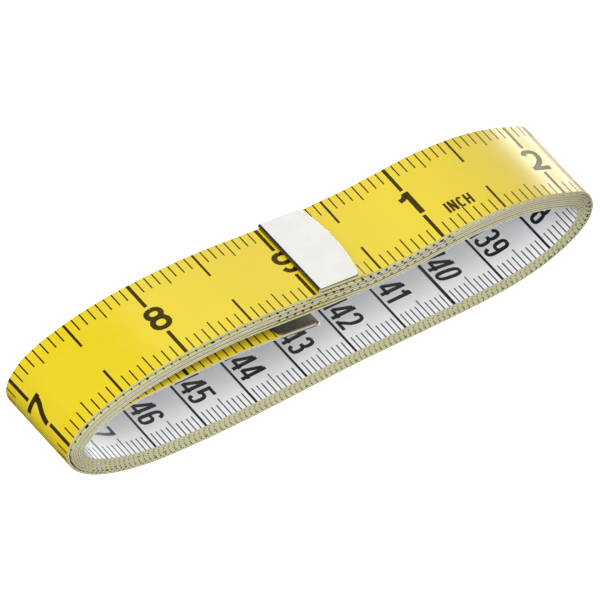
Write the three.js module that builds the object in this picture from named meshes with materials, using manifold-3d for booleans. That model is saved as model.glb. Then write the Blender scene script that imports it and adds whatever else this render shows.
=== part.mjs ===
// A tailor's cloth tape measure, wound flat into an oval coil that lies on its long side.
//
// The strip is a laminate of three plies: a yellow vinyl coat that carries the inch scale,
// a woven glass cloth, and a white vinyl coat that carries the centimetre scale. It winds
// inwards from its outer end on top of the coil, yellow side out, and its inner tail hangs
// free inside. A folded metal ferrule closes each cut end.
//
// Millimetres, +Z up. +X runs along the coil and +Y across the strip. The origin lies on
// the table under the middle of the coil.

import * as THREE from 'three';
import { mergeVertices } from 'three/addons/utils/BufferGeometryUtils.js';
import Module from 'manifold-3d';

// Strip
const STRIP_WIDTH = 18;
const YELLOW_COAT = 0.07;
const GLASS_CLOTH = 0.11;
const WHITE_COAT = 0.07;

// Winding: each turn lies one pitch inside the turn before it. The two end caps take half
// of that pitch each, and the stretches of strip meet with a small gap where they bend
const TURNS = 7;
const PITCH = 0.66;
const CAP_GROWTH = 0.5;
const CUT_GAP = 0.3;

// Oval that the yellow face starts on. The coil's length is measured over the first turn
const COIL_LENGTH = 106.3;
const CREST_X = -22;
const CREST_HEIGHT = 23.92;
const DIP_X = 13.5;
const DIP_HEIGHT = 21.08;
const CROWN_X = 27.5;
const CROWN_HEIGHT = 21.7;
const SOLE_LEFT_X = -25;
const SOLE_RIGHT_X = 23;
const END_SWEEP = 80;

const RIGHT_END_RADIUS = 6;
const RIGHT_END_HEIGHT = 11.15;
const RIGHT_SHOULDER_SETBACK = 6.7;
const RIGHT_SHOULDER_HEIGHT = 18.2;
const RIGHT_SHOULDER_SLOPE = 25;
const RIGHT_FOOT_SETBACK = 4.6;
const RIGHT_FOOT_HEIGHT = 4.85;
const RIGHT_FOOT_SLOPE = 33;

const LEFT_END_RADIUS = 6.5;
const LEFT_END_HEIGHT = 11.4;
const LEFT_SHOULDER_SETBACK = 4.0;
const LEFT_SHOULDER_HEIGHT = 18.34;
const LEFT_SHOULDER_SLOPE = 34;
const LEFT_FOOT_SETBACK = 8.7;
const LEFT_FOOT_HEIGHT = 2.6;
const LEFT_FOOT_SLOPE = 23;
const BROW_SETBACK = 13.295;
const BROW_HEIGHT = 22.1;
const BROW_SLOPE = 14.5;

// Outer end: a straight landing on the coil's top run, raised for the ferrule's under plate
const TIP_X = -3;
const TIP_HEIGHT = 22.45;
const TIP_SLOPE = 6.3;
const TIP_RISE = 0.1;

// Inner tail: leaves the winding at the left shoulder and sags to its tip
const TAIL_CROWN_SETBACK = 24.645;
const TAIL_CROWN_HEIGHT = 17.5;
const TAIL_TIP_X = -3.3;
const TAIL_TIP_HEIGHT = 15.1;
const TAIL_SLOPE = 8;

// Ferrules: a sheet folded round the strip's end, its free edges bowed
const FERRULE_SHEET = 0.3;
const FERRULE_SIDE = 7.4;
const FERRULE_MIDDLE = 8.7;
const FERRULE_CORNER = 0.8;
const FERRULE_CLEARANCE = 0.05;
const FERRULE_OVERHANG = 0.1;

const finishes = {
  yellowVinyl: { color: 0xf0da32, roughness: 0.42, metalness: 0 },
  glassCloth: { color: 0xcfc9a8, roughness: 0.85, metalness: 0 },
  whiteVinyl: { color: 0xe4e6ea, roughness: 0.45, metalness: 0 },
  nickel: { color: 0xc8c7c2, roughness: 0.22, metalness: 1 },
};

const wasm = await Module();
wasm.setup();

const rad = THREE.MathUtils.degToRad;
const strip = YELLOW_COAT + GLASS_CLOTH + WHITE_COAT;
const landing = FERRULE_MIDDLE + FERRULE_CORNER / 2;
const rightX = COIL_LENGTH / 2 + PITCH * CAP_GROWTH / 2;
const leftX = -COIL_LENGTH / 2 - PITCH * CAP_GROWTH * 1.5;

// Oval

/** The knots of a round cap, which sweeps END_SWEEP degrees about an end's outermost point. */
function capKnots(endX, height, radius, heading) {
  const half = rad(END_SWEEP / 2);
  const side = Math.sign(endX);
  const x = endX - side * radius * (1 - Math.cos(half));
  const rise = side * radius * Math.sin(half);
  return [
    { x, z: height + rise, heading: heading + END_SWEEP / 2, steps: 8, growth: CAP_GROWTH },
    { x, z: height - rise, heading: heading - END_SWEEP / 2, steps: 2, growth: 0 },
  ];
}

/**
 * Knots of the oval in winding order, clockwise from the outer end as seen from the near
 * side. heading is the winding's direction in degrees, steps counts the facets up to the
 * next knot, and growth is the share of a pitch that the winding moves inwards there: only
 * the end caps take any, so the runs between them stay parallel.
 */
function ovalKnots() {
  const soleZ = -PITCH * CAP_GROWTH;
  const fall = Math.tan(rad(TIP_SLOPE));
  const landingX = TIP_X + landing;
  const approachX = TIP_X - landing;
  const knot = (name, x, z, heading, steps) => ({ name, x, z, heading, steps, growth: 0 });
  return [
    knot('tip', TIP_X, TIP_HEIGHT, -TIP_SLOPE, 1),
    knot('landing', landingX, TIP_HEIGHT - landing * fall, -TIP_SLOPE, 2),
    knot('dip', DIP_X, DIP_HEIGHT, 0, 3),
    knot('crown', CROWN_X, CROWN_HEIGHT, 0, 3),
    knot('rightShoulder', rightX - RIGHT_SHOULDER_SETBACK, RIGHT_SHOULDER_HEIGHT, -RIGHT_SHOULDER_SLOPE, 3),
    ...capKnots(rightX, RIGHT_END_HEIGHT, RIGHT_END_RADIUS, -90),
    knot('rightFoot', rightX - RIGHT_FOOT_SETBACK, RIGHT_FOOT_HEIGHT, RIGHT_FOOT_SLOPE - 180, 4),
    knot('soleRight', SOLE_RIGHT_X, soleZ, -180, 1),
    knot('soleLeft', SOLE_LEFT_X, soleZ, -180, 3),
    knot('leftFoot', leftX + LEFT_FOOT_SETBACK, LEFT_FOOT_HEIGHT, -180 - LEFT_FOOT_SLOPE, 3),
    ...capKnots(leftX, LEFT_END_HEIGHT, LEFT_END_RADIUS, -270),
    knot('leftShoulder', leftX + LEFT_SHOULDER_SETBACK, LEFT_SHOULDER_HEIGHT, LEFT_SHOULDER_SLOPE - 360, 2),
    knot('brow', leftX + BROW_SETBACK, BROW_HEIGHT, BROW_SLOPE - 360, 2),
    knot('crest', CREST_X, CREST_HEIGHT, -360, 2),
    knot('approach', approachX, TIP_HEIGHT + landing * fall, -360 - TIP_SLOPE, 1),
    knot('end', TIP_X, TIP_HEIGHT, -360 - TIP_SLOPE, 0),
  ];
}

/** A smooth curve between two knots, with handles that draw a near-circular arc. */
function spanCurve(a, b) {
  const from = new THREE.Vector2(a.x, a.z);
  const to = new THREE.Vector2(b.x, b.z);
  const turn = rad(b.heading - a.heading);
  const reach = from.distanceTo(to) / 3 / Math.cos(turn / 4) ** 2;
  const handle = (heading) => new THREE.Vector2(Math.cos(rad(heading)), Math.sin(rad(heading)));
  const fromHandle = handle(a.heading).multiplyScalar(reach).add(from);
  const toHandle = handle(b.heading).multiplyScalar(-reach).add(to);
  return new THREE.CubicBezierCurve(from, fromHandle, toHandle, to);
}

// Stations: facet edges of the strip, as a place on the yellow face with its directions

/** The station at share t of a curve, moved inwards by an offset. */
function stationOn(curve, t, offset, mark) {
  const place = curve.getPoint(t);
  const along = curve.getTangent(t);
  const inward = new THREE.Vector2(along.y, -along.x);
  place.addScaledVector(inward, offset);
  return { place, along, inward, mark };
}

/** Stations through a list of knots, up to the last knot. offsetAt gives the inward offset. */
function stationsAlong(knots, offsetAt) {
  const list = [];
  knots.slice(0, -1).forEach((knot, index) => {
    const curve = spanCurve(knot, knots[index + 1]);
    for (let step = 0; step < knot.steps; step += 1) {
      const t = step / knot.steps;
      list.push(stationOn(curve, t, offsetAt(knot, t, index), step === 0 ? knot.name : ''));
    }
  });
  return list;
}

/** The whole winding: the oval once for each turn, a pitch further in at every turn. */
function windingStations() {
  const knots = ovalKnots();
  const grownBefore = knots.map((_, index) => knots.slice(0, index).reduce((sum, k) => sum + k.growth, 0));
  const list = [];
  for (let turn = 0; turn < TURNS; turn += 1) {
    const offsetAt = (knot, t, index) => PITCH * (turn + grownBefore[index] + knot.growth * t);
    list.push(...stationsAlong(knots, offsetAt).map((station) => ({ ...station, turn })));
  }
  return list;
}

/** Station moved along the strip, for the small gap where two stretches meet. */
function moved(station, distance) {
  return { ...station, place: station.place.clone().addScaledVector(station.along, distance) };
}

/** The outer end from its tip to the crown, with its landing raised over the turn below. */
function outerEndStations(winding) {
  const last = winding.findIndex((station) => station.mark === 'crown');
  const landingAt = winding.findIndex((station) => station.mark === 'landing');
  const list = winding.slice(0, last + 1).map((station, index) => {
    const raised = index <= landingAt ? TIP_RISE : 0;
    return { ...station, place: station.place.clone().addScaledVector(station.inward, -raised) };
  });
  list[last] = moved(list[last], -CUT_GAP / 2);
  return list;
}

/** The wound coil between the outer end's crown and the shoulder where the tail leaves. */
function coilStations(winding) {
  const first = winding.findIndex((station) => station.mark === 'crown');
  const last = winding.findLastIndex((station) => station.mark === 'leftShoulder');
  const list = winding.slice(first, last + 1);
  list[0] = moved(list[0], CUT_GAP / 2);
  list[list.length - 1] = moved(list.at(-1), -CUT_GAP / 2);
  return list;
}

/** The free tail from the winding's last shoulder to its tip, straight inside its ferrule. */
function tailStations(winding) {
  const root = winding.findLast((station) => station.mark === 'leftShoulder');
  const fall = Math.tan(rad(TAIL_SLOPE));
  const knots = [
    { x: root.place.x, z: root.place.y, heading: LEFT_SHOULDER_SLOPE, steps: 4 },
    { x: leftX + TAIL_CROWN_SETBACK, z: TAIL_CROWN_HEIGHT, heading: 0, steps: 4 },
    { x: TAIL_TIP_X - landing, z: TAIL_TIP_HEIGHT + landing * fall, heading: -TAIL_SLOPE, steps: 1 },
    { x: TAIL_TIP_X, z: TAIL_TIP_HEIGHT, heading: -TAIL_SLOPE, steps: 1 },
    { x: TAIL_TIP_X + landing, z: TAIL_TIP_HEIGHT - landing * fall, heading: -TAIL_SLOPE, steps: 0 },
  ];
  const list = stationsAlong(knots, () => 0);
  list[0] = moved(list[0], CUT_GAP / 2);
  return list;
}

// Plies

/** One ply of a stretch: a closed ribbon between two depths below the yellow face. */
function plyGeometry(stations, top, bottom) {
  const corners = [];
  for (const { place, inward } of stations) {
    for (const depth of [top, bottom]) {
      const x = place.x + inward.x * depth;
      const z = place.y + inward.y * depth;
      corners.push(x, -STRIP_WIDTH / 2, z, x, STRIP_WIDTH / 2, z);
    }
  }
  const around = [0, 1, 3, 2];
  const faces = [];
  for (let i = 0; i < stations.length - 1; i += 1) {
    around.forEach((corner, k) => {
      const a = 4 * i + corner;
      const b = 4 * i + around[(k + 1) % 4];
      faces.push(a, a + 4, b + 4, a, b + 4, b);
    });
  }
  const end = 4 * (stations.length - 1);
  faces.push(0, 1, 3, 0, 3, 2);
  faces.push(end, end + 3, end + 1, end, end + 2, end + 3);
  const geometry = new THREE.BufferGeometry();
  geometry.setAttribute('position', new THREE.Float32BufferAttribute(corners, 3));
  geometry.setIndex(faces);
  return geometry;
}

function namedMesh(name, geometry, finish) {
  geometry.computeVertexNormals();
  const mesh = new THREE.Mesh(geometry, new THREE.MeshStandardMaterial(finishes[finish]));
  mesh.name = name;
  return mesh;
}

/** The three bonded plies of a stretch of strip, from the yellow face inwards. */
function laminate(name, stations) {
  const group = new THREE.Group();
  const plies = [
    ['yellow_coat', YELLOW_COAT, 'yellowVinyl'],
    ['glass_cloth', GLASS_CLOTH, 'glassCloth'],
    ['white_coat', WHITE_COAT, 'whiteVinyl'],
  ];
  let depth = 0;
  for (const [ply, thickness, finish] of plies) {
    group.add(namedMesh(`${name}_${ply}`, plyGeometry(stations, depth, depth + thickness), finish));
    depth += thickness;
  }
  return group;
}

// Ferrules

function toSolid(geometry) {
  geometry.deleteAttribute('normal');
  geometry.deleteAttribute('uv');
  const merged = mergeVertices(geometry, 1e-5);
  return new wasm.Manifold(new wasm.Mesh({
    numProp: 3,
    vertProperties: new Float32Array(merged.attributes.position.array),
    triVerts: new Uint32Array(merged.index.array),
  }));
}

function fromSolid(solid) {
  const { vertProperties, triVerts } = solid.getMesh();
  const geometry = new THREE.BufferGeometry();
  geometry.setAttribute('position', new THREE.Float32BufferAttribute(vertProperties, 3));
  geometry.setIndex(Array.from(triVerts));
  return geometry;
}

/**
 * A ferrule in its own frame: the strip's end lies at the origin and the strip runs along
 * +X. The sheet's folded side profile, as wide as the strip, is cut to the plan outline.
 */
function ferruleGeometry() {
  const inside = strip / 2 + FERRULE_CLEARANCE;
  const outside = inside + FERRULE_SHEET;
  const width = STRIP_WIDTH + 2 * FERRULE_OVERHANG;
  const foldX = strip / 2;
  const reach = FERRULE_MIDDLE + FERRULE_SHEET;

  const fold = new THREE.Shape();
  fold.moveTo(reach, -outside);
  fold.lineTo(reach, -inside);
  fold.lineTo(-FERRULE_CLEARANCE, -inside);
  fold.lineTo(-FERRULE_CLEARANCE, inside);
  fold.lineTo(reach, inside);
  fold.lineTo(reach, outside);
  fold.lineTo(foldX, outside);
  fold.absarc(foldX, 0, outside, Math.PI / 2, -Math.PI / 2, false);
  const sheet = new THREE.ExtrudeGeometry(fold, { depth: width, bevelEnabled: false, curveSegments: 6 });
  sheet.rotateX(Math.PI / 2);
  sheet.translate(0, width / 2, 0);

  const side = width / 2;
  const plan = new THREE.Shape();
  plan.moveTo(foldX - outside - FERRULE_SHEET, -side);
  plan.lineTo(FERRULE_SIDE - FERRULE_CORNER, -side);
  plan.quadraticCurveTo(FERRULE_SIDE, -side, FERRULE_SIDE, FERRULE_CORNER - side);
  plan.quadraticCurveTo(2 * FERRULE_MIDDLE - FERRULE_SIDE, 0, FERRULE_SIDE, side - FERRULE_CORNER);
  plan.quadraticCurveTo(FERRULE_SIDE, side, FERRULE_SIDE - FERRULE_CORNER, side);
  plan.lineTo(foldX - outside - FERRULE_SHEET, side);
  const cutter = new THREE.ExtrudeGeometry(plan, { depth: 4 * outside, bevelEnabled: false, curveSegments: 8 });
  cutter.translate(0, 0, -2 * outside);

  return fromSolid(toSolid(sheet).intersect(toSolid(cutter)));
}

/** A ferrule on the end station of a stretch, its strip running off at a slope. */
function ferrule(name, station, slope, turned) {
  const mesh = namedMesh(name, ferruleGeometry(), 'nickel');
  const middle = station.place.clone().addScaledVector(station.inward, strip / 2);
  mesh.position.set(middle.x, 0, middle.y);
  mesh.rotation.set(0, rad(slope), turned, 'YXZ');
  return mesh;
}

// Measures

/** Length of the strip along its middle layer. */
function stripLength(...stretches) {
  const middles = stretches.flat().map((s) => s.place.clone().addScaledVector(s.inward, strip / 2));
  return middles.slice(1).reduce((sum, point, index) => sum + point.distanceTo(middles[index]), 0);
}

/** Least gap between a turn's white face and the yellow face of the turn inside it. */
function leastGap(stations) {
  const turnLength = stations.filter((s) => s.turn === 1).length;
  const nearest = new THREE.Vector2();
  let least = Infinity;
  stations.forEach((station, index) => {
    const point = station.place.clone().addScaledVector(station.inward, strip);
    const from = index + Math.floor(turnLength / 2);
    const to = Math.min(index + Math.floor(turnLength * 1.5), stations.length - 1);
    for (let i = from; i < to; i += 1) {
      const a = stations[i].place;
      const run = stations[i + 1].place.clone().sub(a);
      const share = THREE.MathUtils.clamp(point.clone().sub(a).dot(run) / run.lengthSq(), 0, 1);
      nearest.copy(a).addScaledVector(run, share);
      least = Math.min(least, nearest.distanceTo(point));
    }
  });
  return least;
}

// Assembly

const winding = windingStations();
const outerEnd = outerEndStations(winding);
const coil = coilStations(winding);
const tail = tailStations(winding);

const tapeMeasure = new THREE.Group();
tapeMeasure.add(
  laminate('coil', coil),
  laminate('outer_end', outerEnd),
  laminate('inner_tail', tail),
  ferrule('outer_ferrule', outerEnd[0], TIP_SLOPE, 0),
  ferrule('inner_ferrule', tail.at(-1), TAIL_SLOPE, Math.PI),
);

const lengthText = stripLength(outerEnd, coil, tail).toFixed(1);
console.log(`strip ${lengthText} mm long, least gap between turns ${leastGap(coil).toFixed(3)} mm`);
for (const [name, station] of [['outer end', coil[0]], ['inner tail', tail[0]]]) {
  const cut = moved(station, -CUT_GAP / 2);
  const { x, y } = cut.place.clone().addScaledVector(cut.inward, strip / 2);
  console.log(`${name} bends from x ${x.toFixed(3)}, z ${y.toFixed(3)}`);
}

export default tapeMeasure;
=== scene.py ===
"""A tailor's cloth tape measure, wound flat into an oval coil that lies on its long side.

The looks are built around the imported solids, in the same frame. The strip is followed from
its outer tip, on top of the coil, through seven turns to its free inner tail. Everything on
it is worked out in strip coordinates, (mark, across, depth): millimetres along the printed
scale, millimetres from the strip's middle line, and millimetres below its yellow face.
"""
import math

import bpy
import numpy as np
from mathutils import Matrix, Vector


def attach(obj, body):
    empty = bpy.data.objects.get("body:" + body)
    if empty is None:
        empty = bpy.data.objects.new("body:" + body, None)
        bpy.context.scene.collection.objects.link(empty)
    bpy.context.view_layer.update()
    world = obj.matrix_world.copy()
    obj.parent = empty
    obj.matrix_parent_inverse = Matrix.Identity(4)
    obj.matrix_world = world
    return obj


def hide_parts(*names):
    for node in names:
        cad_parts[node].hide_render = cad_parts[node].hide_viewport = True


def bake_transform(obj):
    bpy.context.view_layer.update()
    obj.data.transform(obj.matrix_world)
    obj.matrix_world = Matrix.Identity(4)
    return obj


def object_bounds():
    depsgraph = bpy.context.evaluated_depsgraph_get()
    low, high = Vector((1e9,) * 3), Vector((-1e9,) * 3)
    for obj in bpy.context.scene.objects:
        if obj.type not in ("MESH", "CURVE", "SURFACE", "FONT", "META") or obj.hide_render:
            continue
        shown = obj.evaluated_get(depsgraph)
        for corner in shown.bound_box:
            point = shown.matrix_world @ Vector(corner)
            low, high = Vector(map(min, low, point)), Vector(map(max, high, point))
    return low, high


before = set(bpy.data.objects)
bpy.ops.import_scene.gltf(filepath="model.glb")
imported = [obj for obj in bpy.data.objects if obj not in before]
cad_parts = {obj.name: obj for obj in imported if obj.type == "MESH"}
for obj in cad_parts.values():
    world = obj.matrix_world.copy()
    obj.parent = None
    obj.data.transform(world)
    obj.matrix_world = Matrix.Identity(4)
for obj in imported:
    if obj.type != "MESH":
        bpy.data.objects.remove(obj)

MM = 0.001
INCH = 25.4
cad_low, cad_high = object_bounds()

# Strip: two vinyl coats on a woven glass cloth, sixty inches long. Lengths are in millimetres
STRIP_INCHES = 60
STRIP_LENGTH = STRIP_INCHES * INCH
STRIP_WIDTH = 18.24
EDGE = STRIP_WIDTH / 2
YELLOW_COAT = 0.14
GLASS_CLOTH = 0.14
WHITE_COAT = 0.14
STRIP_THICKNESS = YELLOW_COAT + GLASS_CLOTH + WHITE_COAT
CLOTH_SETBACK = 0.03
FOLD_SETBACK = 0.5
STATION_STEP = 0.55
FEWEST_STATIONS = 8

# Cut edges: the plies' corners are rounded and worn, more so all along the second turn
CUT_ROUNDING = 0.03
WEAR = 0.15
SECOND_TURN_WEAR = 0.45
WEAR_RUN = 4.0
# How far inside the second turn its corners start to be painted pale: partly wear, partly painted light in
# the lit gap under the first turn.
PALE_CORNER_FROM = 2.0
EDGE_MARGIN = 0.6

# Winding, as in the solids: the first turn's yellow face lies on the solids' outer face
TURNS = 7
PITCH = 0.66
CAP_GROWTH = 0.5
CLOSE = 0.47
END_SWEEP = 80
RIGHT_END_CUT = 0.30
CREST_KNOT = 3
LEFT_SHOULDER_SLOPE = 34.0
TIP = (-3.0, 22.45)
TIP_SLOPE = 7.0
TIP_RISE = 0.08
RISE_LEAD = 1.2
RISE_RUN = 3.4
LANDING = 9.1
TAIL_SLOPE = 8.0
TAIL_TIP = (-3.3, 15.1)
TAIL_CROWN = (-29.0, 17.5)

# Twist of the right end, slew of the left end, and the turns' drift from side to side
LEAN = 0.045
LEAN_FROM = -4.0
LEAN_RUN = 10.0
LEAN_HEIGHT = 9.0
TWIST_IN = 4.0
TWIST_OUT = 20.0
SLEW = 0.02
SLEW_FROM = -38.0
SLEW_RUN = 10.0
SIDE_DRIFT = 0.02
DRIFT_FROM = 20.0
DRIFT_RUN = 60.0
DRIFT_WAVES = (
    # length, share and shift of each wave
    (61.0, 1.0, 0.0),
    (23.0, 0.6, 1.0),
)

# How far the drawn length runs ahead of the printed scale: at three places on the outer turn and
# at its end, then at the start of the inner turn, at two places near the tail's root and at the tip
OUTER_SLIP = (-0.42, -0.52, -1.1, -1.37)
OUTER_SLIP_AT = (0, 60, 170)
INNER_SLIP = (1.63, 1.83, 2.80, 2.85)
ROOT_SLIP_AT = (-12, 5)

# Print
INK_LIFT = 0.012
INK_SINK = 0.02
INK_MARGIN = 0.15
SECOND_TURN_INK_MARGIN = INK_MARGIN / 3
FINEST_PART = 16
INCH_LINES = (
    # parts of an inch, length and thickness of the lines
    (1, 5.87, 0.68),
    (2, 5.87, 0.45),
    (4, 3.82, 0.25),
    (FINEST_PART, 2.92, 0.25),
)
CM_LINES = (
    # every so many millimetres but not every so many, length and thickness of the lines
    (1, 5, 3.12, 0.22),
    (5, 10, 4.29, 0.22),
    (10, 100, STRIP_WIDTH + INK_LIFT, 0.45),
    (100, STRIP_LENGTH, STRIP_WIDTH + INK_LIFT, 0.63),
)
INCH_FIGURE_SHIFT = 0.2
INCH_WORD_AT = (29.25, 3.67)
CM_FIGURE_START = {1: -1.47, 2: 1.22, 3: 3.02}
CM_FIGURE_GAP = 0.75
TENS_SLANT = 8
NARROW_ONE = 0.62
STROKE_POINTS = 15
LEAST_STEP = 1e-9

# Ink that has run over the edge. On the loose turns by the ferrule it is from the inch lines
INK_RUN = 0.27
LOOSE_INK = 0.30
LOOSE_SPREAD = 0.10
LOOSE_TURNS = (3, 5)
LOOSE_ABOVE = 15.0
LOOSE_MIDDLE = 6.0
LOOSE_HALF = 18.0

# On the sole and the right end it is from the millimetre lines: turns, and how far down the edge
RUBBED_INK = ((2, 0.22), (3, 0.11), (5, 0.06))
RUBBED_SPREAD = 0.04
RIGHT_END_INK = 0.33
RUBBED_BELOW = 6.0
RUBBED_BEYOND = 40.0
RUBBED_END = 13.0

# Ferrules
FERRULE_SLOPE = 6.3
FERRULE_SHEET = 0.28
FERRULE_SIDE = 7.95
FERRULE_MIDDLE = 9.1
FERRULE_SKEW = 0.2
FERRULE_CORNER = 0.8
FERRULE_OVERHANG = -0.02
FERRULE_CLEARANCE = 0.02
FERRULE_EDGE_WEAR = 0.07
WORN_EDGE_ANGLE = 50
FERRULE_ROWS = 41
PLATE_STATIONS = 14
FOLD_STATIONS = 13

# Patterns of the materials: the real width of what they draw, and how deep it is
THREAD_SPACING = 0.45
VINYL_PATCH = 9.0
VINYL_SKIN = 0.8
VINYL_RELIEF = 0.02
KNIFE_STREAK = 0.25
STREAK_SQUEEZE = 0.1
INK_SPECK = 0.35
NICKEL_CLOUD = 3.0
SCRATCH_WIDTH = 0.12
SCRATCH_SQUEEZE = 0.15
SCRATCH_DEPTH = 0.01
SHEAR_GRAIN = 0.3
SCRATCH_STRENGTH = 0.08
NOISE_RANGE = (0.3, 0.7)
SPECK_RANGE = (0.45, 0.75)
WAVE_FACTOR = 20

# Camera, fitted to the printed marks
CAMERA_AZIMUTH = -33.92
CAMERA_ELEVATION = 45.97
CAMERA_TARGET = (-4.43, -5.20, 17.70)
CAMERA_DISTANCE = 1000.0
CAMERA_LENS = 362.77

# Surround: how far to the right its light fades, as a share of the way
RIGHT_FADE = (0.0, 0.6)


# Winding

def smooth_step(share):
    """Rises from 0 to 1 as share does, level at both ends: 3 t^2 - 2 t^3."""
    t = np.clip(share, 0, 1)
    return t * t * (3 - 2 * t)


def direction(degrees):
    """Unit vector of a heading in the plane of the winding."""
    return np.array([math.cos(math.radians(degrees)), math.sin(math.radians(degrees))])


def cap_knots(end_x, height, radius, heading, depths):
    """The two knots of a round end cap, which sweeps END_SWEEP degrees about its outermost point."""
    half = math.radians(END_SWEEP / 2)
    side = math.copysign(1, end_x)
    x = end_x - side * radius * (1 - math.cos(half))
    rise = side * radius * math.sin(half)
    return [
        (x, height + rise, heading + END_SWEEP / 2, CAP_GROWTH, depths),
        (x, height - rise, heading - END_SWEEP / 2, 0, depths),
    ]


def layers(spacing, first=0.0, fourth=0.0, fifth=0.0):
    """Depths of the seven turns below the outermost: evenly spaced, with extra slack under some turns."""
    steps = np.array([0] + [spacing] * (TURNS - 1), float)
    steps[1] += first
    steps[4] += fourth
    steps[5] += fifth
    return np.cumsum(steps)


def oval_knots():
    """Knots of the oval, clockwise from the outer tip as seen from the near side.

    Each is x, z, heading in degrees, the share of a pitch that the winding moves inwards up
    to the next knot, and the depths of the turns there. The turns lie close together, but
    the outermost one stands off on the top run, and the sole arches a little off the table.
    """
    half_length = (cad_high.x - cad_low.x) / MM / 2
    right = half_length + PITCH * CAP_GROWTH / 2 - RIGHT_END_CUT
    left = -half_length - PITCH * CAP_GROWTH * 1.5
    sole = -PITCH * CAP_GROWTH
    fall = LANDING * math.tan(math.radians(FERRULE_SLOPE))
    end = layers(CLOSE, first=0.33, fourth=0.28, fifth=0.33)
    tip = np.concatenate([[0], PITCH + end[:-1]])
    landed = layers(0.465, first=0.56, fourth=0.08, fifth=0.29)
    return [
        (TIP[0], TIP[1], -TIP_SLOPE, 0, tip),
        (TIP[0] + LANDING, 21.17, -TIP_SLOPE, 0, layers(CLOSE, first=0.18, fifth=0.10)),
        (12.5, 20.92, 0, 0, layers(CLOSE, first=0.08, fifth=0.12)),
        (27.5, 21.68, 0, 0, layers(0.475, first=0.05, fifth=0.12)),
        (right - 6.7, 17.95, -25, 0, layers(0.455, first=0.02)),
        *cap_knots(right, 11.15, 6.0, -90, layers(0.475, first=0.08)),
        (right - 4.6, 4.55, -147, 0, layers(0.445, first=0.08)),
        (23, sole + 0.35, -180, 0, layers(0.47, first=0.05)),
        (6, sole + 0.58, -180, 0, layers(0.46, first=0.06)),
        (-17, sole, -180, 0, layers(0.45, first=0.06)),
        (-25, sole + 0.05, -182, 0, layers(0.475, first=0.08)),
        (left + 8.46, 3.0, -203, 0, layers(0.495, first=0.10)),
        (left + 2.04, 7.56, -232, CAP_GROWTH / 2, layers(0.45, first=0.15)),
        (left + 0.25, 12.2, -270, CAP_GROWTH / 2, layers(0.43, first=0.40)),
        (left + 1.825, 16.17, -308.5, 0, layers(0.465, first=0.58)),
        (left + 4.0, 18.34, LEFT_SHOULDER_SLOPE - 360, 0, layers(0.465, first=0.70)),
        (left + 13.295, 22.1, -345.5, 0, layers(0.46, first=0.66)),
        (-22, 23.92, -360, 0, layers(0.46, first=0.60, fourth=0.05)),
        (TIP[0] - LANDING, TIP[1] + fall, -360 - TIP_SLOPE, 0, landed),
        (TIP[0], TIP[1], -360 - TIP_SLOPE, 0, end),
    ]


def span(a, b, share):
    """Points and unit directions on a cubic Bezier from knot a to knot b.

    Both handles are a third of the chord over the squared cosine of a quarter of the turn,
    which draws a near-circular arc.
    """
    start, stop = np.array(a[:2], float), np.array(b[:2], float)
    turn = math.radians(b[2] - a[2])
    reach = np.linalg.norm(stop - start) / 3 / math.cos(turn / 4) ** 2
    from_handle = start + reach * direction(a[2])
    to_handle = stop - reach * direction(b[2])
    t = share[:, None]
    r = 1 - t
    points = r**3 * start + 3 * r * r * t * from_handle + 3 * r * t * t * to_handle + t**3 * stop
    along = r * r * (from_handle - start) + 2 * r * t * (to_handle - from_handle)
    along += t * t * (stop - to_handle)
    return points, along / np.linalg.norm(along, axis=1)[:, None]


def strip_path(samples=80):
    """The yellow face's line from tip to tail: (x, z) points, inward directions and marks.

    A point of a turn is the oval's point, moved inwards by the growth so far plus the turn's depth.
    The mark is the arc length along the strip's middle layer, brought to the printed scale:
    the hidden turns are drawn a little longer than the scale, and take up the difference.
    The marks of the top run's crest, of the tail's root and of each turn's start follow.
    """
    share = np.arange(samples) / samples
    knots = oval_knots()
    shoulder = [knot[2] for knot in knots].index(LEFT_SHOULDER_SLOPE - 360)
    runs = []
    for turn in range(TURNS):
        grown = 0.0
        last = shoulder if turn == TURNS - 1 else len(knots) - 1
        for a, b in zip(knots[:last], knots[1:last + 1]):
            points, along = span(a, b, share)
            depth = a[4][turn] + (b[4][turn] - a[4][turn]) * smooth_step(share)
            offset = PITCH * (grown + a[3] * share) + depth
            runs.append(points + np.stack([along[:, 1], -along[:, 0]], 1) * offset[:, None])
            grown += a[3]
    root = 2 * runs[-1][-1] - runs[-1][-2]
    fall = LANDING * math.tan(math.radians(TAIL_SLOPE))
    tail = [
        (root[0], root[1], LEFT_SHOULDER_SLOPE),
        (*TAIL_CROWN, 0),
        (TAIL_TIP[0] - LANDING, TAIL_TIP[1] + fall, -TAIL_SLOPE),
        (*TAIL_TIP, -TAIL_SLOPE),
    ]
    tail_start = len(runs) * samples
    runs += [span(a, b, share)[0] for a, b in zip(tail, tail[1:])]
    points = np.concatenate([*runs, [TAIL_TIP]])
    along = np.gradient(points, axis=0)
    along /= np.linalg.norm(along, axis=1)[:, None]
    inward = np.stack([along[:, 1], -along[:, 0]], 1)
    middle = points + inward * STRIP_THICKNESS / 2
    arc = np.concatenate([[0], np.cumsum(np.linalg.norm(np.diff(middle, axis=0), axis=1))])
    held = arc * (math.tan(math.radians(TIP_SLOPE)) - math.tan(math.radians(FERRULE_SLOPE)))
    rise = (TIP_RISE + held) * (1 - smooth_step((arc - FERRULE_SIDE + RISE_LEAD) / RISE_RUN))
    points = points - inward * rise[:, None]
    turn_start = arc[[turn * (len(knots) - 1) * samples for turn in range(TURNS)]]
    near_root = [arc[tail_start] + step for step in ROOT_SLIP_AT]
    places = [*OUTER_SLIP_AT, turn_start[1], turn_start[-1], *near_root, arc[-1]]
    marks = arc - np.interp(arc, places, [*OUTER_SLIP, *INNER_SLIP])
    crest = CREST_KNOT * samples
    return points, inward, marks, marks[crest], marks[tail_start], np.interp(turn_start, arc, marks)


line, inward, line_marks, crest_mark, root_mark, turn_marks = strip_path()


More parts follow.
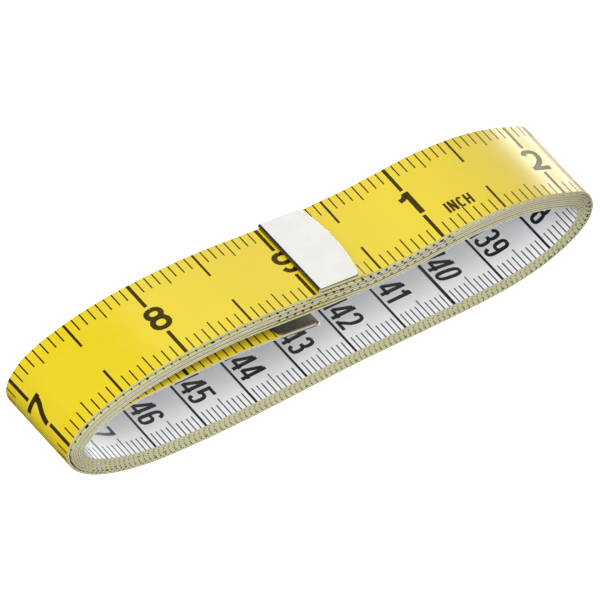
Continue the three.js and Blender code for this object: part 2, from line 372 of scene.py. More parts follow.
def lean(x, z):
    """How far the strip leans towards the near side: the coil's right end is a little twisted."""
    return LEAN * smooth_step((x - LEAN_FROM) / LEAN_RUN) * smooth_step(z / LEAN_HEIGHT)


def slew(x):
    """How far the strip is slewed round at the coil's left end, its near edge to the right."""
    return SLEW * smooth_step((SLEW_FROM - x) / SLEW_RUN)


def on_strip(coordinates):
    """Strip coordinates (mark, across, depth) to millimetres: line + inward * depth, then twisted.

    The turns' edges drift a little from side to side. The free tail isn't twisted.
    """
    mark, across, depth = np.moveaxis(np.asarray(coordinates, float), -1, 0)
    x = np.interp(mark, line_marks, line[:, 0]) + np.interp(mark, line_marks, inward[:, 0]) * depth
    z = np.interp(mark, line_marks, line[:, 1]) + np.interp(mark, line_marks, inward[:, 1]) * depth
    waves = sum(share * np.sin(mark / length + shift) for length, share, shift in DRIFT_WAVES)
    fade = smooth_step((mark - DRIFT_FROM) / DRIFT_RUN)
    fade = fade * smooth_step((STRIP_LENGTH - DRIFT_RUN - mark) / DRIFT_RUN)
    twisted = lean(x, z) * smooth_step((mark - FERRULE_SIDE) / TWIST_IN)
    twisted = twisted * smooth_step((root_mark - mark) / TWIST_OUT)
    return np.stack([x - across * slew(x), across + SIDE_DRIFT * waves * fade, z + across * twisted], -1)


def whereabouts(marks):
    """Where marks lie on the middle of the yellow face: x, z and the number of the turn."""
    x, _, z = on_strip(np.stack([marks, 0 * marks, 0 * marks], -1)).T
    return x, z, np.searchsorted(turn_marks, marks, side="right")


# Meshes

def new_piece(name, points, faces, material, uv=None, smooth_angle=35):
    """A mesh object at the origin, from points in millimetres. uv holds one pair for each point."""
    mesh = bpy.data.meshes.new(name)
    mesh.from_pydata((np.asarray(points).reshape(-1, 3) * MM).tolist(), [], faces)
    mesh.update()
    if uv is not None:
        corner = np.zeros(len(mesh.loops), np.int32)
        mesh.loops.foreach_get("vertex_index", corner)
        pairs = np.asarray(uv).reshape(-1, 2)[corner] * MM
        layer = mesh.uv_layers.new(name="strip")
        layer.data.foreach_set("uv", pairs.astype(np.float32).ravel())
    mesh.shade_smooth()
    mesh.set_sharp_from_angle(angle=math.radians(smooth_angle))
    mesh.materials.append(material)
    piece = bpy.data.objects.new(name, mesh)
    bpy.context.scene.collection.objects.link(piece)
    return piece


def tube_faces(count, sides):
    """Quads of a closed tube of count rings with that many sides, and its two end faces."""
    ring = np.arange(count - 1)[:, None] * sides
    side = np.arange(sides)[None, :]
    after = (side + 1) % sides
    quads = np.stack([ring + side, ring + sides + side, ring + sides + after, ring + after], -1)
    last = (count - 1) * sides
    ends = [list(range(sides)), list(range(last + sides - 1, last - 1, -1))]
    return quads.reshape(-1, 4).tolist() + ends


# Plies. The two rows of numbers are the sides of a section that round its corners

TOP_CORNERS = (2, 3, 13, 14)
BOTTOM_CORNERS = (5, 6, 10, 11)


def ply_section(half_width, top, bottom, wear):
    """Outline of a ply's cut end as (across, depth), its corners worn down to quarter ovals of that width.

    A second point on each face, EDGE_MARGIN from the side, keeps the face's shading flat.
    """
    turn = np.radians([0, 45, 90])
    out, down = wear * np.sin(turn), CUT_ROUNDING * (1 - np.cos(turn))
    side, face = half_width - wear, half_width - EDGE_MARGIN
    rows = [
        ([-face, face], [top, top]),
        (side + out, top + down),
        (side + out[::-1], bottom - down[::-1]),
        ([face, -face], [bottom, bottom]),
        (-side - out, bottom - down),
        (-side - out[::-1], top + down[::-1]),
    ]
    return np.concatenate([np.stack(pair, 1) for pair in rows])


def ply(name, first, last, top, bottom, half_width, face, edge, corners):
    """A ply between two marks: its section carried along the strip.

    Its cut edges have a material of their own, and so have its corners where corners lists a material,
    the section's sides and two marks. The second turn's corners, which stand free of the first turn,
    are worn more.
    """
    count = max(FEWEST_STATIONS, round((last - first) / STATION_STEP)) + 1
    marks = np.linspace(first, last, count)
    section = ply_section(half_width, top, bottom, WEAR)
    worn_section = ply_section(half_width, top, bottom, SECOND_TURN_WEAR)
    sides = len(section)
    grid = np.zeros((count, sides, 3))
    grid[..., 0] = marks[:, None]
    worn = smooth_step((marks - turn_marks[1]) / WEAR_RUN) * smooth_step((turn_marks[2] - marks) / WEAR_RUN)
    grid[..., 1:] = section + (worn_section - section) * worn[:, None, None]
    uv = np.stack([grid[..., 0], grid[..., 1] + grid[..., 2]], -1)
    piece = new_piece(name, on_strip(grid), tube_faces(count, sides), face, uv, smooth_angle=12)
    piece.data.materials.append(edge)
    index = np.ones(len(piece.data.polygons), np.int32)
    step = np.abs(np.roll(section[:, 0], -1) - section[:, 0])
    kind = np.tile(np.where(step > WEAR, 0, 1), (count - 1, 1))
    for number, (material, facets, low, high) in enumerate(corners):
        piece.data.materials.append(material)
        here = np.flatnonzero((marks[1:] > low) & (marks[1:] < high))
        kind[np.ix_(here, facets)] = number + 2
    index[:(count - 1) * sides] = kind.ravel()
    piece.data.polygons.foreach_set("material_index", index)
    return piece


# Figures: each stroke is a line of STROKE_POINTS points in a box from -0.5 to 0.5 and 0 to 1

def bend(x, y, wide, high, start, stop, squared):
    """A stroke round a squared-off oval: the points (cos^k, sin^k) of a superellipse."""
    turn = np.radians(np.linspace(start, stop, STROKE_POINTS))
    across = np.sign(np.cos(turn)) * np.abs(np.cos(turn)) ** squared
    up = np.sign(np.sin(turn)) * np.abs(np.sin(turn)) ** squared
    return np.stack([x + wide * across, y + high * up], 1)


def bar(*points):
    """A stroke through a few points, evenly spaced along them."""
    points = np.array(points, float)
    run = np.concatenate([[0], np.cumsum(np.linalg.norm(np.diff(points, axis=0), axis=1))])
    at = np.linspace(0, run[-1], STROKE_POINTS)
    return np.stack([np.interp(at, run, points[:, 0]), np.interp(at, run, points[:, 1])], 1)


def square_to(rows):
    """Unit vectors square to the strokes, to their left. rows is strokes by points by two."""
    along = np.gradient(rows, axis=1)
    along /= np.maximum(np.linalg.norm(along, axis=2), LEAST_STEP)[..., None]
    return np.stack([-along[..., 1], along[..., 0]], -1)


class Lettering:
    """Figures of one size: height, width and spacing in millimetres, and an oval pen's width and height."""

    def __init__(self, height, width, spacing, pen, squared):
        self.height = height
        self.width = width
        self.spacing = spacing
        self.pen = np.array(pen)
        self.squared = squared

    def figure(self, figure, wide):
        """Stroke lines of a figure in a box of that width. Bends keep half a pen inside the box."""
        w, h = self.pen / 2 / (wide, self.height)

        def oval(y, across, high, start=90, stop=450):
            return bend(0, y, across - w, high - h, start, stop, self.squared)

        if figure == "0":
            return [oval(0.5, 0.5, 0.5)]
        if figure == "1":
            stem = 0.5 - w
            flag = bar((-0.5, 0.77), (-0.2, 0.78), (0.0, 0.84), (stem - w / 2, 0.96))
            return [bar((stem, 0), (stem, 1)), flag]
        if figure == "2":
            top = oval(0.71, 0.5, 0.29, 175, -20)
            return [bar(*top, (0.26, 0.44), (0.0, 0.28), (-0.5 + w, h)), bar((-0.5, h), (0.5, h))]
        if figure == "3":
            waist = bar((-0.15, 0.52), (0.05, 0.52))
            return [oval(0.73, 0.47, 0.27, 165, -90), oval(0.29, 0.5, 0.29, 90, -165), waist]
        if figure == "4":
            stem = 0.43 - w
            slope = bar((stem - w, 1 - h), (-0.5 + w / 2, 0.24))
            return [slope, bar((-0.5, 0.24), (0.5, 0.24)), bar((stem, 0), (stem, 1))]
        if figure == "5":
            left = -0.47 + w
            back = bar((left, 1), (left - 0.02, 0.45))
            return [bar((left, 1 - h), (0.46, 1 - h)), back, oval(0.33, 0.5, 0.33, 150, -160)]
        if figure == "6":
            return [oval(0.3, 0.5, 0.3), oval(0.5, 0.5, 0.5, 205, 32)]
        if figure == "7":
            leg = bar((0.5 - w, 1 - h / 2), (0.27, 0.69), (0.05, 0.42), (-0.08, 0.2), (-0.14, 0))
            return [bar((-0.5, 1 - h), (0.5, 1 - h)), leg]
        if figure == "8":
            return [oval(0.727, 0.47, 0.273), oval(0.307, 0.5, 0.307)]
        if figure == "9":
            return [oval(0.7, 0.5, 0.3), oval(0.5, 0.5, 0.5, 25, -148)]
        if figure == "I":
            return [bar((0, 0), (0, 1))]
        if figure == "C":
            return [oval(0.5, 0.5, 0.5, 40, 320)]
        left, right = w - 0.5, 0.5 - w
        posts = [bar((left, 0), (left, 1)), bar((right, 0), (right, 1))]
        if figure == "N":
            return [posts[0], bar((left, 1), (right, 0)), posts[1]]
        return [*posts, bar((left, 0.5), (right, 0.5))]

    def strokes(self, text):
        """Stroke lines of a text in millimetres from its left end and its base, half widths and whole width.

        The half width is that of an oval pen's stroke, square to its direction.
        """
        narrow = {"1": NARROW_ONE, "I": self.pen[0] / self.width}
        rows, left = [], 0.0
        for figure in text:
            wide = self.width * narrow.get(figure, 1)
            for stroke in self.figure(figure, wide):
                rows.append((stroke + (0.5, 0)) * (wide, self.height) + (left, 0))
            left += wide + self.spacing
        rows = np.array(rows)
        half_width = np.linalg.norm(square_to(rows) * self.pen / 2, axis=2)
        return rows, half_width, left - self.spacing


INCH_FIGURES = Lettering(height=5.35, width=3.85, spacing=0.6, pen=(1.05, 0.92), squared=0.92)
CM_FIGURES = Lettering(height=4.75, width=2.34, spacing=0.42, pen=(0.76, 0.62), squared=0.72)
INCH_WORD = Lettering(height=2.4, width=1.32, spacing=0.26, pen=(0.46, 0.40), squared=0.8)


# Print: each part is a row of strokes, their half widths, and the depths of the ink's top and bottom

def slabs(rows, half_width, top, bottom):
    """Thin solids along strokes. rows is strokes by points by (mark, across).

    Each point has six corners: the stroke's right side, middle and left side, at the top and bottom depths.
    """
    left = square_to(rows) * np.asarray(half_width)[..., None]
    ring = [(-1, top), (0, top), (1, top), (1, bottom), (0, bottom), (-1, bottom)]
    corners = np.zeros((*rows.shape[:2], len(ring), 3))
    for corner, (side, depth) in enumerate(ring):
        corners[:, :, corner, :2] = rows + side * left
        corners[:, :, corner, 2] = depth
    return corners.reshape(len(rows), -1, 3), tube_faces(rows.shape[1], len(ring))


def lines_across(marks, low, high, width):
    """Straight strokes across the strip at a row of marks, from low to high, and their half widths."""
    rows = np.zeros((len(marks), 2, 2))
    rows[:, :, 0] = np.asarray(marks)[:, None]
    rows[:, 0, 1] = low
    rows[:, 1, 1] = high
    return rows, np.full((len(marks), 2), width / 2)


def inch_print():
    """Strokes of the inch scale: parts of an inch at both edges, figures between them, and the word INCH.

    The lines stop just short of the edge. In the loose turns by the ferrule, their ink has run over it.
    """
    sixteenth = np.arange(1, STRIP_INCHES * FINEST_PART)
    parts = []
    done = np.zeros(len(sixteenth), bool)
    for part, length, width in INCH_LINES:
        chosen = (sixteenth % (FINEST_PART // part) == 0) & ~done
        done |= chosen
        marks = sixteenth[chosen] * INCH / FINEST_PART
        x, z, turn = whereabouts(marks)
        loose = (z > LOOSE_ABOVE) & (np.abs(x - LOOSE_MIDDLE) < LOOSE_HALF)
        loose &= np.isin(turn, LOOSE_TURNS) | ((turn == 2) & (x > TIP[0] + FERRULE_SIDE))
        margin = np.where(turn == 2, SECOND_TURN_INK_MARGIN, INK_MARGIN)
        for side in (-1, 1):
            rows, half = lines_across(marks, side * (EDGE - margin), side * (EDGE - length), width)
            parts.append((rows, half, -INK_LIFT, INK_SINK))
            rows, half = lines_across(marks[loose], side * (EDGE + INK_LIFT), side * (EDGE - INK_RUN), width)
            parts.append((rows, half + LOOSE_SPREAD, -INK_LIFT, LOOSE_INK))
    for inch in range(1, STRIP_INCHES):
        rows, half, wide = INCH_FIGURES.strokes(str(inch))
        middle = wide - INCH_FIGURES.pen[0] / 2 if inch == 1 else wide / 2
        rows += (inch * INCH - middle + INCH_FIGURE_SHIFT, -INCH_FIGURES.height / 2)
        parts.append((rows, half, -INK_LIFT, INK_SINK))
    rows, half, _ = INCH_WORD.strokes("INCH")
    rows += (INCH_WORD_AT[0], INCH_WORD_AT[1] - EDGE)
    parts.append((rows, half, -INK_LIFT, INK_SINK))
    return parts


def centimetre_print():
    """Strokes of the centimetre scale: millimetres at the near edge, a line and a figure at each centimetre.

    The figures are turned to read across the strip. The tens have thicker lines and slanted figures.
    On the sole and the right end, where the outer turns rub, the lines' ink has run over the edge.
    """
    millimetre = np.arange(1, int(STRIP_LENGTH))
    top, bottom = STRIP_THICKNESS - INK_SINK, STRIP_THICKNESS + INK_LIFT
    parts = []
    for every, skipped, length, width in CM_LINES:
        marks = millimetre[(millimetre % every == 0) & (millimetre % skipped != 0)]
        rows, half = lines_across(marks, -EDGE - INK_LIFT, length - EDGE, width)
        parts.append((rows, half, top, bottom))
        x, z, turn = whereabouts(marks)
        right_end = (x > RUBBED_BEYOND) & (z < RUBBED_END)
        rubbed = (z < RUBBED_BELOW) | right_end
        for number, depth in RUBBED_INK:
            chosen = marks[rubbed & (turn == number)]
            rows, half = lines_across(chosen, -EDGE - INK_LIFT, INK_RUN - EDGE, width)
            parts.append((rows, half + RUBBED_SPREAD, STRIP_THICKNESS - depth, bottom))
        chosen = marks[right_end & (turn == 2)]
        rows, half = lines_across(chosen, -EDGE - 2 * INK_LIFT, INK_RUN - EDGE, width)
        parts.append((rows, half + 2 * RUBBED_SPREAD, STRIP_THICKNESS - RIGHT_END_INK, bottom))
    for centimetre in range(1, int(STRIP_LENGTH) // 10 + 1):
        text = str(centimetre)
        rows, half, _ = CM_FIGURES.strokes(text)
        reading, up = rows[..., 0], rows[..., 1]
        slant = math.tan(math.radians(TENS_SLANT)) if centimetre % 10 == 0 else 0
        mark = centimetre * 10 - CM_FIGURE_GAP - up
        place = CM_FIGURE_START[len(text)] - reading - slant * (up - CM_FIGURES.height / 2)
        parts.append((np.stack([mark, place], -1), half, top, bottom))
    return parts


def print_piece(name, parts, first, last, material):
    """One mesh of all strokes whose middle mark lies between two marks."""
    points, faces, shift = [], [], 0
    for rows, half, top, bottom in parts:
        middle = rows[..., 0].mean(axis=1)
        chosen = (middle >= first) & (middle < last)
        if not chosen.any():
            continue
        corners, pattern = slabs(rows[chosen], half[chosen], top, bottom)
        for stroke in corners:
            faces += [[shift + corner for corner in face] for face in pattern]
            shift += len(stroke)
        points.append(corners.reshape(-1, 3))
    return new_piece(name, on_strip(np.concatenate(points)), faces, material, smooth_angle=50)


# Materials

def srgb(code):
    """Linear colour from an sRGB hex value."""
    value = np.array([int(code[i:i + 2], 16) for i in (0, 2, 4)]) / 255
    linear = np.where(value <= 0.04045, value / 12.92, ((value + 0.055) / 1.055) ** 2.4)
    return (*linear, 1.0)


def add(tree, kind, inputs=(), **settings):
    """Adds a node, sets its settings, and sets or links its inputs."""
    node = tree.nodes.new(kind)
    for key, value in settings.items():
        setattr(node, key, value)
    for key, value in dict(inputs).items():
        if isinstance(value, bpy.types.NodeSocket):
            tree.links.new(value, node.inputs[key])
        else:
            node.inputs[key].default_value = value
    return node


def new_material(name):
    """An empty material with its node tree and its Principled shader."""
    material = bpy.data.materials.new(name)
    material.use_nodes = True
    return material, material.node_tree, material.node_tree.nodes["Principled BSDF"]


def noise(tree, place, width, detail):
    """A noise whose features are that wide, in millimetres."""
    node = add(tree, "ShaderNodeTexNoise", {"Vector": place, "Scale": 1 / (width * MM), "Detail": detail})
    return node.outputs["Fac"]


def bands(tree, place, spacing, axis):
    """Bands that lie that far apart, in millimetres: the sine of WAVE_FACTOR times the scaled place."""
    scale = 2 * math.pi / (WAVE_FACTOR * spacing * MM)
    node = add(tree, "ShaderNodeTexWave", {"Vector": place, "Scale": scale}, bands_direction=axis)
    return node.outputs["Fac"]


def squeezed(tree, place, share):
    """A place whose first axis is squeezed, which draws a pattern out along that axis."""
    return add(tree, "ShaderNodeMapping", {"Vector": place, "Scale": (share, 1.0, 1.0)}).outputs["Vector"]


def combine(tree, operation, a, b, clamped=False):
    """The sum or the product of two values."""
    return add(tree, "ShaderNodeMath", {0: a, 1: b}, operation=operation, use_clamp=clamped).outputs[0]


def ramp(tree, value, source, target):
    """A value brought from the source range to the target range."""
    node = add(tree, "ShaderNodeMapRange", {
        "Value": value,
        "From Min": source[0],
        "From Max": source[1],
        "To Min": target[0],
        "To Max": target[1],
    })
    return node.outputs["Result"]


def colour_between(tree, shader, factor, colour, other):
    """Gives a shader a base colour between two sRGB hex values."""
    node = add(tree, "ShaderNodeMix", {"Factor": factor, 6: srgb(colour), 7: srgb(other)}, data_type="RGBA")
    tree.links.new(node.outputs[2], shader.inputs["Base Color"])


def relief(tree, shader, height, strength, depth):
    """Gives a shader a relief that is so many millimetres deep."""
    node = add(tree, "ShaderNodeBump", {"Height": height, "Strength": strength, "Distance": depth * MM})
    tree.links.new(node.outputs["Normal"], shader.inputs["Normal"])


def coated_vinyl(name, colour, pale, rough, weave_depth):
    """Calendered PVC on glass cloth: smooth and half glossy, with the weave just showing through.

    Broad patches differ a little in colour and in gloss.
    """
    material, tree, shader = new_material(name)
    strip = add(tree, "ShaderNodeUVMap", uv_map="strip").outputs["UV"]
    place = add(tree, "ShaderNodeTexCoord").outputs["Object"]
    patch = noise(tree, place, VINYL_PATCH, 3.0)
    colour_between(tree, shader, patch, colour, pale)
    gloss = ramp(tree, patch, NOISE_RANGE, (rough - 0.04, rough + 0.05))
    tree.links.new(gloss, shader.inputs["Roughness"])
    warp = bands(tree, strip, THREAD_SPACING, "X")
    weft = bands(tree, strip, THREAD_SPACING, "Y")
    skin = noise(tree, place, VINYL_SKIN, 2.0)
    height = combine(tree, "ADD", combine(tree, "MULTIPLY", warp, weft), skin)
    relief(tree, shader, height, weave_depth, VINYL_RELIEF)
    shader.inputs["IOR"].default_value = 1.53
    return material


def cut_edge(name, colour, dark):
    """The slit edge of the strip: matt and nearly smooth, with faint streaks along it from the knife."""
    material, tree, shader = new_material(name)
    strip = add(tree, "ShaderNodeUVMap", uv_map="strip").outputs["UV"]
    streak = noise(tree, squeezed(tree, strip, STREAK_SQUEEZE), KNIFE_STREAK, 2.0)
    colour_between(tree, shader, streak, colour, dark)
    shader.inputs["Roughness"].default_value = 0.6
    return material


def printing_ink(name, colour, worn, sheen):
    """Screen-printed vinyl ink: nearly black, satin, thinner in tiny specks. Its reflections have a tint."""
    material, tree, shader = new_material(name)
    place = add(tree, "ShaderNodeTexCoord").outputs["Object"]
    speck = ramp(tree, noise(tree, place, INK_SPECK, 2.0), SPECK_RANGE, (0, 1))
    colour_between(tree, shader, speck, colour, worn)
    shader.inputs["Roughness"].default_value = 0.3
    shader.inputs["IOR"].default_value = 1.33
    shader.inputs["Specular Tint"].default_value = srgb(sheen)
    return material


def plated_nickel(name, colour, pale, rough):
    """Bright nickel plate on pressed steel: mirror-like, dulled by fine scratches along the strip."""
    material, tree, shader = new_material(name)
    place = add(tree, "ShaderNodeTexCoord").outputs["Object"]
    scratch = noise(tree, squeezed(tree, place, SCRATCH_SQUEEZE), SCRATCH_WIDTH, 4.0)
    relief(tree, shader, scratch, SCRATCH_STRENGTH, SCRATCH_DEPTH)
    cloud = noise(tree, place, NICKEL_CLOUD, 3.0)
    colour_between(tree, shader, cloud, colour, pale)
    gloss = ramp(tree, cloud, NOISE_RANGE, (rough, rough + 0.1))
    tree.links.new(gloss, shader.inputs["Roughness"])
    shader.inputs["Metallic"].default_value = 1.0
    return material


def cut_steel(name):
    """The sheared rim of the ferrule's sheet: steel, dull and uneven from the shears. Its dark colour is
    partly painted reflection, standing in for the dark surroundings that the sheet's edges mirror.
    """
    material, tree, shader = new_material(name)
    place = add(tree, "ShaderNodeTexCoord").outputs["Object"]
    colour_between(tree, shader, noise(tree, place, SHEAR_GRAIN, 3.0), "3A3830", "5A574C")
    shader.inputs["Metallic"].default_value = 0.6
    shader.inputs["Roughness"].default_value = 0.55
    return material


yellow_vinyl = coated_vinyl("yellow_vinyl", "EDD21E", "EFD626", rough=0.22, weave_depth=0.10)
white_vinyl = coated_vinyl("white_vinyl", "F4F5F8", "F7F8FA", rough=0.34, weave_depth=0.10)
yellow_edge = cut_edge("cut_yellow_vinyl", "D7D27D", "C5BE69")
# Pale second-turn corners: partly wear, partly painted light where the gap under the first turn is lit.
pale_corner_wear_and_light = cut_edge("pale_corner_vinyl_worn_and_lit", "F4EFA4", "E8E290")
# Painted shade: dark top corners further in stand in for the shadow in the gaps between turns.
painted_shade_edge = cut_edge("painted_shade_yellow_vinyl", "9C9238", "8C8230")
white_corner = cut_edge("worn_white_vinyl", "F0F1EA", "E0E1DA")
white_edge = cut_edge("cut_white_vinyl", "ECE9DF", "DAD7CB")
cloth_edge = cut_edge("cut_glass_cloth", "DCD8BE", "C8C3A4")
ink_on_yellow = printing_ink("ink_on_yellow", "2E2400", "3A2E02", "FFE660")
ink_on_white = printing_ink("ink_on_white", "191A1C", "242528", "FFFFFF")
nickel = plated_nickel("plated_nickel", "C4C3BF", "CCCBC7", rough=0.14)
# Painted shade: the outer ferrule's fold is plated darker to stand in for the shade and dark reflections
# along it.
fold_nickel_painted_shade = plated_nickel("fold_nickel_painted_shade", "8A867A", "949084", rough=0.30)
# Painted shade: the inner ferrule's plates are darker to stand in for the shaded underside of the top run
# that they mirror.
inner_nickel_painted_shade = plated_nickel("inner_nickel_painted_shade", "8C887C", "9A968A", rough=0.16)
# Partly painted reflection: the rim is dark to stand in for the dark surroundings mirrored along the sheet's
# edges.
steel = cut_steel("cut_steel")


# Ferrules

def ferrule_grid():
    """The outer face of a folded sheet, as rows across the strip of points (along, across, up).

    The profile runs along the top plate to the fold, half round it and back along the bottom plate.
    The plates end at SIDE + (MIDDLE - SIDE) * (1 - v^2) + SKEW * v, with the corners rounded off.
    """
    outside = STRIP_THICKNESS / 2 + FERRULE_CLEARANCE + FERRULE_SHEET
    fold = STRIP_THICKNESS / 2
    half_width = EDGE + FERRULE_OVERHANG
    v = np.sin(np.linspace(-math.pi / 2, math.pi / 2, FERRULE_ROWS))
    end = FERRULE_SIDE + (FERRULE_MIDDLE - FERRULE_SIDE) * (1 - v**2) + FERRULE_SKEW * v
    corner = (half_width * (1 - np.abs(v))) / FERRULE_CORNER
    end -= FERRULE_CORNER * (1 - np.sqrt(np.clip(1 - np.clip(1 - corner, 0, 1) ** 2, 0, 1)))
    plate = np.linspace(1, 0, PLATE_STATIONS)
    turn = np.linspace(math.pi / 2, 3 * math.pi / 2, FOLD_STATIONS)[1:-1]
    along = np.concatenate([
        fold + (end[:, None] - fold) * plate[None],
        np.tile(fold + outside * np.cos(turn), (len(v), 1)),
        fold + (end[:, None] - fold) * plate[None, ::-1],
    ], axis=1)
    flat = np.full(PLATE_STATIONS, outside)
    up = np.concatenate([flat, outside * np.sin(turn), -flat])
    across = np.tile(v[:, None] * half_width, (1, along.shape[1]))
    return np.stack([along, across, np.tile(up, (len(v), 1))], -1)


def ferrule(name, place_at, slope, facing, plating, fold_plating):
    """A sheet folded round an end of the strip: its rim steel, dark partly as painted reflection, and its
    fold plated by itself.
    """
    grid = ferrule_grid()
    tilt = math.radians(slope)
    x = place_at[0] + facing * grid[..., 0] * math.cos(tilt) + grid[..., 2] * math.sin(tilt)
    z = place_at[1] - facing * grid[..., 0] * math.sin(tilt) + grid[..., 2] * math.cos(tilt)
    rows, columns = grid.shape[:2]
    first = (np.arange(rows - 1)[:, None] * columns + np.arange(columns - 1)[None]).ravel()
    quads = np.stack([first, first + 1, first + columns + 1, first + columns], 1)
    if facing > 0:
        quads = quads[:, ::-1]
    piece = new_piece(name, np.stack([x, grid[..., 1], z], -1), quads.tolist(), plating)
    wall = piece.modifiers.new("sheet", "SOLIDIFY")
    wall.thickness = FERRULE_SHEET * MM
    wall.offset = -1
    wall.use_even_offset = True
    piece.data.materials.append(steel)
    wall.material_offset_rim = 1
    piece.data.materials.append(fold_plating)
    column = np.tile(np.arange(columns - 1), rows - 1)
    folded = (column > PLATE_STATIONS + 1) & (column < PLATE_STATIONS + FOLD_STATIONS - 2)
    piece.data.polygons.foreach_set("material_index", np.where(folded, 2, 0).astype(np.int32))
    soft = piece.modifiers.new("worn edges", "BEVEL")
    soft.width = FERRULE_EDGE_WEAR * MM
    soft.segments = 3
    soft.limit_method = "ANGLE"
    soft.angle_limit = math.radians(WORN_EDGE_ANGLE)
    return piece


# Assembly

inch_parts = inch_print()
centimetre_parts = centimetre_print()


def bend_with(piece):
    """Bakes a free end's piece's transform into its mesh."""
    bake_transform(piece)


def stretch(body, first, last, name):
    """A stretch of the strip between two marks: its three plies and the print on both faces.

    The yellow coat's corners are worn on the second turn and painted pale there, partly for the wear and
    partly as painted light where the gap under the first turn is lit. Further in, their top corners are
    painted dark, as painted shade for the gaps between the turns. The white coat's corners are worn pale
    from the second turn to the sixth.
    """
    cloth_top, cloth_bottom = YELLOW_COAT, YELLOW_COAT + GLASS_CLOTH
    second_turn = (turn_marks[1] + PALE_CORNER_FROM, turn_marks[2] - PALE_CORNER_FROM)
    # Partly wear, partly painted light: pale corners where the gap under the first turn is lit.
    pale_corners_wear_and_light = (pale_corner_wear_and_light, TOP_CORNERS + BOTTOM_CORNERS, *second_turn)
    # Painted shade: these dark top corners stand in for the shadow in the gaps between turns.
    painted_shade_corners = (painted_shade_edge, TOP_CORNERS, turn_marks[2], root_mark)
    worn_white = (white_corner, BOTTOM_CORNERS, turn_marks[1], turn_marks[-1])
    yellow = ply(f"{name}_yellow_vinyl", first, last, 0, cloth_top, EDGE,
                 yellow_vinyl, yellow_edge, [pale_corners_wear_and_light, painted_shade_corners])
    cloth = ply(f"{name}_woven_cloth", first, last, cloth_top, cloth_bottom, EDGE - CLOTH_SETBACK,
                cloth_edge, cloth_edge, [])
    white = ply(f"{name}_white_vinyl", first, last, cloth_bottom, STRIP_THICKNESS, EDGE,
                white_vinyl, white_edge, [worn_white])
    inches = print_piece(f"{name}_inch_print", inch_parts, first, last, ink_on_yellow)
    centimetres = print_piece(f"{name}_centimetre_print", centimetre_parts, first, last, ink_on_white)
    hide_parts(f"{name}_yellow_coat")
    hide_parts(f"{name}_glass_cloth")
    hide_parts(f"{name}_white_coat")
    for piece in (yellow, cloth, white, inches, centimetres):
        if body == "coil":
            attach(piece, body)
        else:
            bend_with(piece)


stretch("outer_end", FOLD_SETBACK, crest_mark, "outer_end")
stretch("coil", crest_mark, root_mark, "coil")
stretch("inner_tail", root_mark, STRIP_LENGTH, "inner_tail")

tip_middle = line[0] + inward[0] * (STRIP_THICKNESS / 2)
tail_middle = line[-1] + inward[-1] * (STRIP_THICKNESS / 2)
# The outer ferrule's fold takes the darker plating, as painted shade for the fold.
outer_ferrule = ferrule("outer_ferrule_sheet", tip_middle, FERRULE_SLOPE, 1, nickel, fold_nickel_painted_shade)
# The inner ferrule's plates take the darker plating, as painted shade for what they mirror.
inner_ferrule = ferrule("inner_ferrule_sheet", tail_middle, TAIL_SLOPE, -1, inner_nickel_painted_shade, nickel)
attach(outer_ferrule, "outer_end")
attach(inner_ferrule, "inner_tail")
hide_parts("outer_ferrule")
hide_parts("inner_ferrule")


# Stage, in metres and watts

def white_to_the_eye(tree, surface, share, strength):
    """Mixes a surface with plain white light for camera, glossy and transmission rays."""
    rays = add(tree, "ShaderNodeLightPath").outputs
    seen = combine(tree, "ADD", rays["Is Camera Ray"], rays["Is Glossy Ray"])
    seen = combine(tree, "ADD", seen, rays["Is Transmission Ray"], clamped=True)
    white = add(tree, "ShaderNodeEmission", {"Color": (1, 1, 1, 1), "Strength": strength})
    share = combine(tree, "MULTIPLY", seen, share)
    return add(tree, "ShaderNodeMixShader", {"Fac": share, 1: surface, 2: white.outputs[0]}).outputs[0]


def rectangle(name, wide, high, material):
    """A flat rectangle, its middle at the origin."""
    w, h = wide / 2, high / 2
    mesh = bpy.data.meshes.new(name)
    mesh.from_pydata([(-w, -h, 0), (w, -h, 0), (w, h, 0), (-w, h, 0)], [], [(0, 1, 2, 3)])
    mesh.materials.append(material)
    flat = bpy.data.objects.new(name, mesh)
    bpy.context.scene.collection.objects.link(flat)
    return flat


def face_towards(thing, place, aim, front):
    """Puts a thing at a place and turns its front axis towards a point."""
    thing.location = place
    thing.rotation_mode = "QUATERNION"
    thing.rotation_quaternion = (Vector(aim) - Vector(place)).to_track_quat(front, "Y")


def white_floor(size, share, strength):
    """A wide white table top. The eye sees it nearly all white, with a trace of the coil's shadow."""
    material = bpy.data.materials.new("white_paper")
    material.use_nodes = True
    tree = material.node_tree
    tree.nodes.clear()
    paper = add(tree, "ShaderNodeBsdfDiffuse", {"Color": srgb("C4C4C4")})
    mixed = white_to_the_eye(tree, paper.outputs[0], share, strength)
    add(tree, "ShaderNodeOutputMaterial", {"Surface": mixed})
    floor = rectangle("table_top", size, size, material)


def white_world(strength, right_strength, seen_strength):
    """A white surround: plain light on the object, weaker from the right, and white behind it."""
    world = bpy.data.worlds.new("light_tent")
    bpy.context.scene.world = world
    world.use_nodes = True
    tree = world.node_tree
    tree.nodes.clear()
    place = add(tree, "ShaderNodeTexCoord").outputs["Generated"]
    across = add(tree, "ShaderNodeSeparateXYZ", {"Vector": place}).outputs["X"]
    share = ramp(tree, across, RIGHT_FADE, (strength, right_strength))
    even = add(tree, "ShaderNodeBackground", {"Color": (1, 1, 1, 1), "Strength": share})
    mixed = white_to_the_eye(tree, even.outputs[0], 1.0, seen_strength)
    add(tree, "ShaderNodeOutputWorld", {"Surface": mixed})


def soft_box(name, place, aim, size, power):
    """A square lamp that faces a point."""
    lamp = bpy.data.lights.new(name, "AREA")
    lamp.energy = power
    lamp.size = size
    box = bpy.data.objects.new(name, lamp)
    face_towards(box, place, aim, "-Z")
    bpy.context.scene.collection.objects.link(box)
    return box


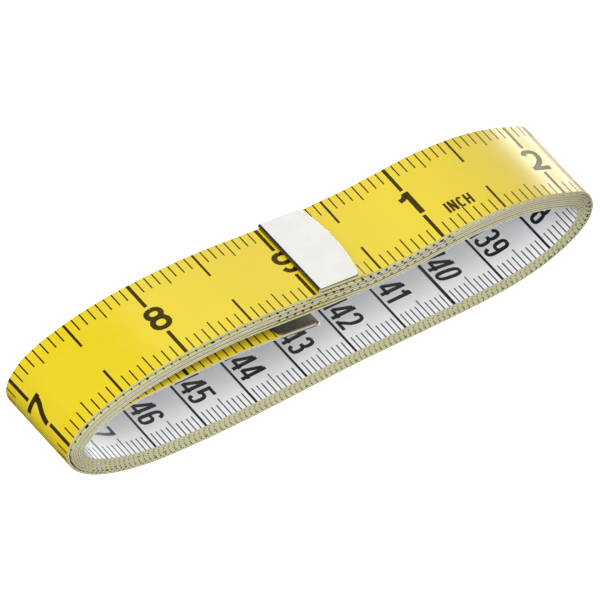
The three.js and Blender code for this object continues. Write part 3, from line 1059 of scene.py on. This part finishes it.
def dark_card(name, place, aim, wide, high, mirrored):
    """A black card out of the camera's sight. The coil mirrors it, or else only loses light to it."""
    material, _, shader = new_material("black_paper")
    shader.inputs["Base Color"].default_value = srgb("2E2B24")
    shader.inputs["Roughness"].default_value = 0.9
    card = rectangle(name, wide, high, material)
    face_towards(card, place, aim, "Z")
    card.visible_camera = False
    card.visible_shadow = not mirrored
    card.visible_diffuse = not mirrored
    card.visible_glossy = mirrored


def photo_camera():
    """The camera at the photograph's angle, aimed at the middle of its frame."""
    camera = bpy.data.cameras.new("photo_camera")
    camera.sensor_width = 36.0
    camera.lens = CAMERA_LENS
    camera.clip_start = 0.05
    camera.clip_end = 20.0
    turn, lift = math.radians(CAMERA_AZIMUTH), math.radians(CAMERA_ELEVATION)
    back = Vector((math.sin(turn) * math.cos(lift), -math.cos(turn) * math.cos(lift), math.sin(lift)))
    eye = bpy.data.objects.new("photo_camera", camera)
    eye.location = (Vector(CAMERA_TARGET) + back * CAMERA_DISTANCE) * MM
    eye.rotation_mode = "QUATERNION"
    eye.rotation_quaternion = (-back).to_track_quat("-Z", "Y")
    bpy.context.scene.collection.objects.link(eye)
    bpy.context.scene.camera = eye


white_floor(size=6.0, share=0.96, strength=2.1)
white_world(strength=0.50, right_strength=0.05, seen_strength=1.5)
soft_box("main_lamp", place=(-0.19, -0.27, 0.59), aim=(0, 0, 0), size=0.5, power=3.6)
right_lamp = soft_box("right_lamp", place=(0.6, 0.42, -0.025), aim=(0.04, 0, 0.01), size=0.5, power=5.0)
right_lamp.visible_diffuse = False
dark_card("fold_card", place=(-0.23, 0.25, 0.27), aim=(0, 0, 0.02), wide=0.55, high=0.6, mirrored=True)
dark_card("left_card", place=(-0.147, 0.05, 0.0003), aim=(-0.147, 0.05, 1), wide=0.2, high=0.3,
          mirrored=True)
dark_card("right_flag", place=(0.102, -0.02, 0.05), aim=(0.102, -0.02, 0), wide=0.12, high=0.12,
          mirrored=False)
photo_camera()
bpy.context.scene.view_settings.view_transform = "Standard"
